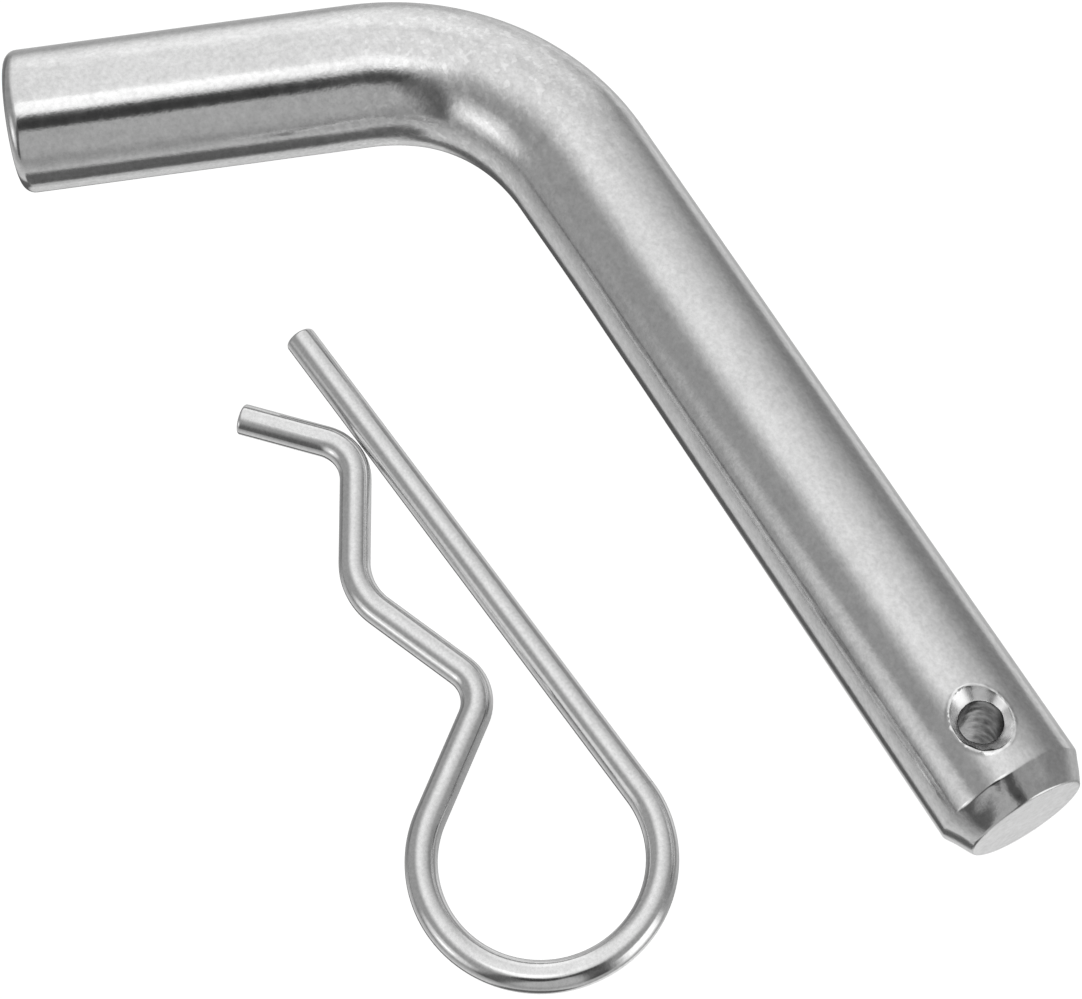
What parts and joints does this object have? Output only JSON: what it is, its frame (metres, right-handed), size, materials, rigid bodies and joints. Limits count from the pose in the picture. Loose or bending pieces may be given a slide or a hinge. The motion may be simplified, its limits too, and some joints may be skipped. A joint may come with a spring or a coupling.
{
  "type": "hitch pin with retaining clip",
  "caption": "Bent round steel hitch pin with a chamfered, cross-drilled tip, and its loose wire spring clip lying beside it.",
  "frame": {"origin": "middle of the cross hole, where its axis crosses the axis of the shank", "axes": "+X along the shank towards its chamfered tip, +Z along the cross hole and square to the plane of the bend; the handle and the clip lie towards -Y"},
  "size_m": [0.132, 0.0647, 0.0158],
  "materials": {
    "plated_bar": "bright zinc plated steel bar, satin with faint spangle and drawing marks",
    "plated_wire": "bright zinc plated spring wire, smooth and glossy"
  },
  "bodies": {
    "pin": {"hitch_pin": "plated_bar"},
    "clip_leg": {"clip_straight_leg": "plated_wire"},
    "clip_bow": {"clip_spring_bow": "plated_wire"},
    "clip_arm": {"clip_gripping_arm": "plated_wire"}
  },
  "joints": [
    {"name": "clip_lift", "type": "slide", "parent": "pin", "child": "clip_leg", "axis": [0, 0, 1], "range_m": [0, 0.08]},
    {"name": "clip_turn", "type": "hinge", "parent": "clip_leg", "child": "clip_bow", "pos_m": [-0.015, -0.03052, -0.00624], "axis": [-0.9969, -0.0785, 0], "range_deg": [0, 120]},
    {"name": "clip_flex", "type": "hinge", "parent": "clip_bow", "child": "clip_arm", "pos_m": [-0.00008, -0.04168, -0.00624], "axis": [0, 0, 1], "range_deg": [0, 7], "stiffness_Nm_per_rad": 25}
  ]
}
